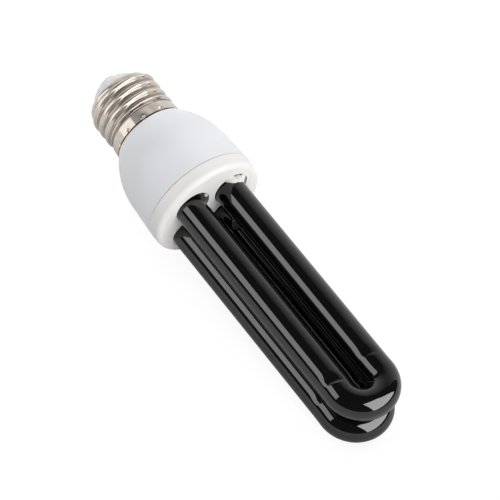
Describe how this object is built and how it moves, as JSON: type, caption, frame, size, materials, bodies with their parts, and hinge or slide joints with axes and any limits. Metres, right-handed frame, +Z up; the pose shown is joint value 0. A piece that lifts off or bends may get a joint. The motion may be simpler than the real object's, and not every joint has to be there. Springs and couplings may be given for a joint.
{
  "type": "uv black light bulb",
  "caption": "Compact black light lamp: a bent discharge tube of black glass in a white ballast housing, with a screw cap, lying on its side.",
  "frame": {"origin": "on the table under the middle of the lying lamp's bounding box", "axes": "+X along the lamp from its cap to its tube, +Z up; the lamp lies on its cover's rim and its lower bend, so its own axis dips a few degrees towards +X"},
  "size_m": [0.1602, 0.0412, 0.0416],
  "materials": {
    "nickel": "rolled nickel plate",
    "insulator": "smooth",
    "contact": "nickel plate",
    "solder": "dull tin",
    "housing_plastic": "satin moulded",
    "cover_plastic": "satin moulded",
    "black_glass": "polished",
    "cement": "rough",
    "board": "phenolic paper",
    "ferrite": "matt",
    "bobbin_plastic": "moulded",
    "copper_wire": "enamelled",
    "wire_sleeve": "smooth",
    "capacitor_sleeve": "shrunk sleeve",
    "film_capacitor": "dipped",
    "ceramic_capacitor": "dipped",
    "semiconductor": "moulded",
    "resistor": "lacquered",
    "diac_glass": "smooth",
    "tinned_wire": "tinned"
  },
  "bodies": {
    "root": {"screw_shell": "nickel", "cap_insulator": "insulator", "centre_contact": "contact", "contact_solder": "solder", "ballast_housing": "housing_plastic", "tube_cover": "cover_plastic", "discharge_tube": "black_glass", "tube_cement": "cement", "circuit_board": "board", "choke_core": "ferrite", "choke_bobbin": "bobbin_plastic", "choke_winding": "copper_wire", "toroid_core": "ferrite", "toroid_windings": "wire_sleeve", "smoothing_capacitor": "capacitor_sleeve", "resonant_capacitor": "film_capacitor", "coupling_capacitor": "film_capacitor", "snubber_capacitor": "ceramic_capacitor", "switching_transistor_1": "semiconductor", "switching_transistor_2": "semiconductor", "start_resistor": "resistor", "base_resistor_1": "resistor", "base_resistor_2": "resistor", "trigger_diac": "diac_glass", "fuse_resistor": "resistor", "shell_lead": "tinned_wire", "rectifier_diode_1": "semiconductor", "wrap_pin_1": "tinned_wire", "filament_lead_1": "tinned_wire", "rectifier_diode_2": "semiconductor", "wrap_pin_2": "tinned_wire", "filament_lead_2": "tinned_wire", "rectifier_diode_3": "semiconductor", "wrap_pin_3": "tinned_wire", "filament_lead_3": "tinned_wire", "rectifier_diode_4": "semiconductor", "wrap_pin_4": "tinned_wire", "filament_lead_4": "tinned_wire"}
  },
  "joints": []
}
